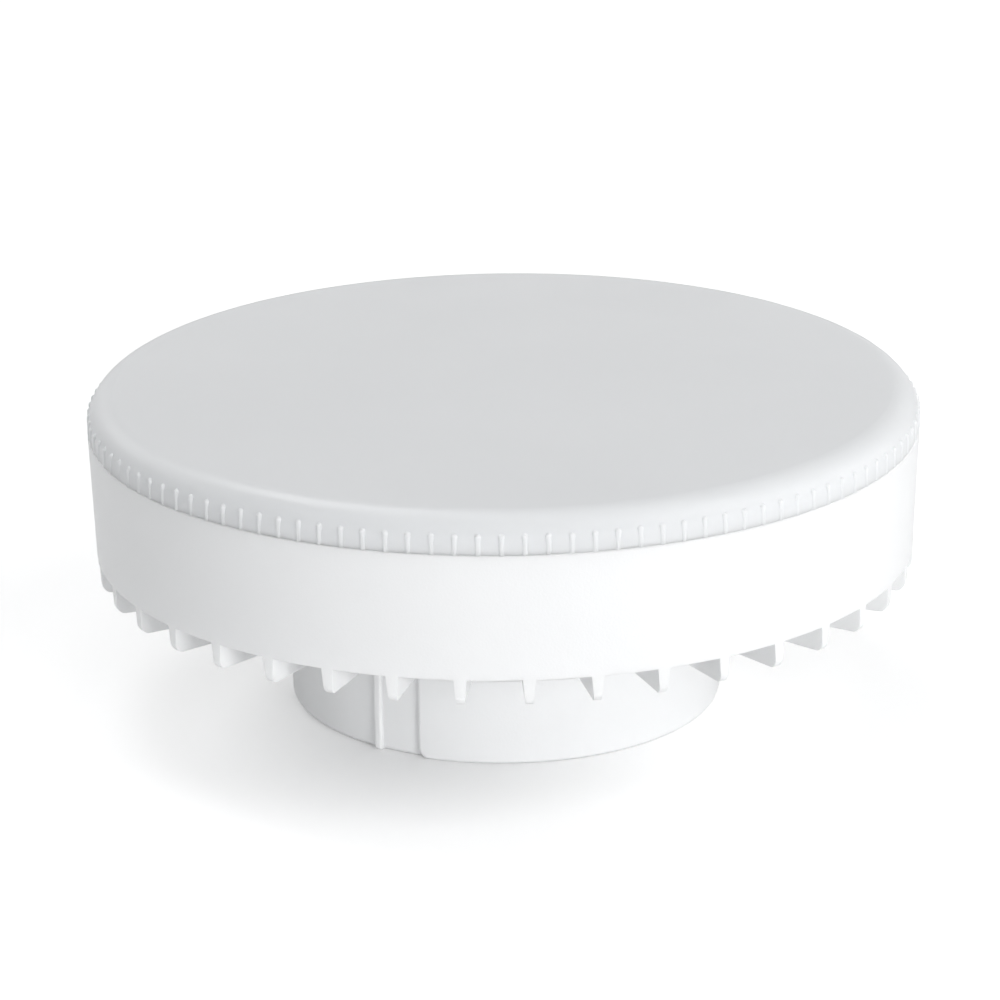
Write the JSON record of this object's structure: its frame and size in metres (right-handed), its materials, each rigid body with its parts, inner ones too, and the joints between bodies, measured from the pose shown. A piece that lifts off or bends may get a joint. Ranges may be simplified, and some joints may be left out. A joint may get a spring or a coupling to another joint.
{
  "type": "led disc lamp",
  "caption": "Flat round LED lamp with a domed opal cover, finned white can and a round neck with lock cams and two mushroom contact pins.",
  "frame": {"origin": "centre of the neck's end face, which the lamp stands on", "axes": "+Z along the lamp's axis, up through the cover; the two contact pins lie on the X axis"},
  "size_m": [0.075, 0.075, 0.0302],
  "materials": {
    "capacitor_sleeve": "shrink sleeve on an aluminium can",
    "chip_black": "moulded epoxy",
    "chip_resistor": "glazed",
    "copper_winding": "enamelled copper",
    "driver_board_green": "glass-fibre laminate",
    "ferrite": "sintered, matt",
    "film_capacitor_case": "moulded case",
    "fuse_body": "lacquered",
    "housing_white": "satin white moulding",
    "led_board_white": "white solder mask on aluminium",
    "led_package": "white package with yellow phosphor",
    "mains_wire_sleeve": "soft sleeve",
    "opal_cover": "opal, fine satin",
    "output_wire_black": "soft sleeve",
    "output_wire_red": "soft sleeve",
    "pin_nickel": "nickel plated",
    "screw_steel": "zinc plated",
    "spreader_aluminium": "drawn, bare"
  },
  "bodies": {
    "root": {"board_screw_1": "screw_steel", "board_screw_2": "screw_steel", "board_screw_3": "screw_steel", "choke_core": "ferrite", "choke_winding": "copper_winding", "contact_pin_1": "pin_nickel", "contact_pin_2": "pin_nickel", "diffuser": "opal_cover", "driver_board": "driver_board_green", "driver_chip": "chip_black", "film_capacitor": "film_capacitor_case", "flyback_diode": "chip_black", "fuse_resistor": "fuse_body", "heat_spreader": "spreader_aluminium", "housing": "housing_white", "input_capacitor": "capacitor_sleeve", "led_01": "led_package", "led_02": "led_package", "led_03": "led_package", "led_04": "led_package", "led_05": "led_package", "led_06": "led_package", "led_07": "led_package", "led_08": "led_package", "led_09": "led_package", "led_10": "led_package", "led_11": "led_package", "led_12": "led_package", "led_13": "led_package", "led_14": "led_package", "led_15": "led_package", "led_16": "led_package", "led_17": "led_package", "led_18": "led_package", "led_board": "led_board_white", "mains_wire_1": "mains_wire_sleeve", "mains_wire_2": "mains_wire_sleeve", "output_capacitor": "capacitor_sleeve", "output_wire_1": "output_wire_red", "output_wire_2": "output_wire_black", "rectifier": "chip_black", "sense_resistor_1": "chip_resistor", "sense_resistor_2": "chip_resistor"}
  },
  "joints": []
}
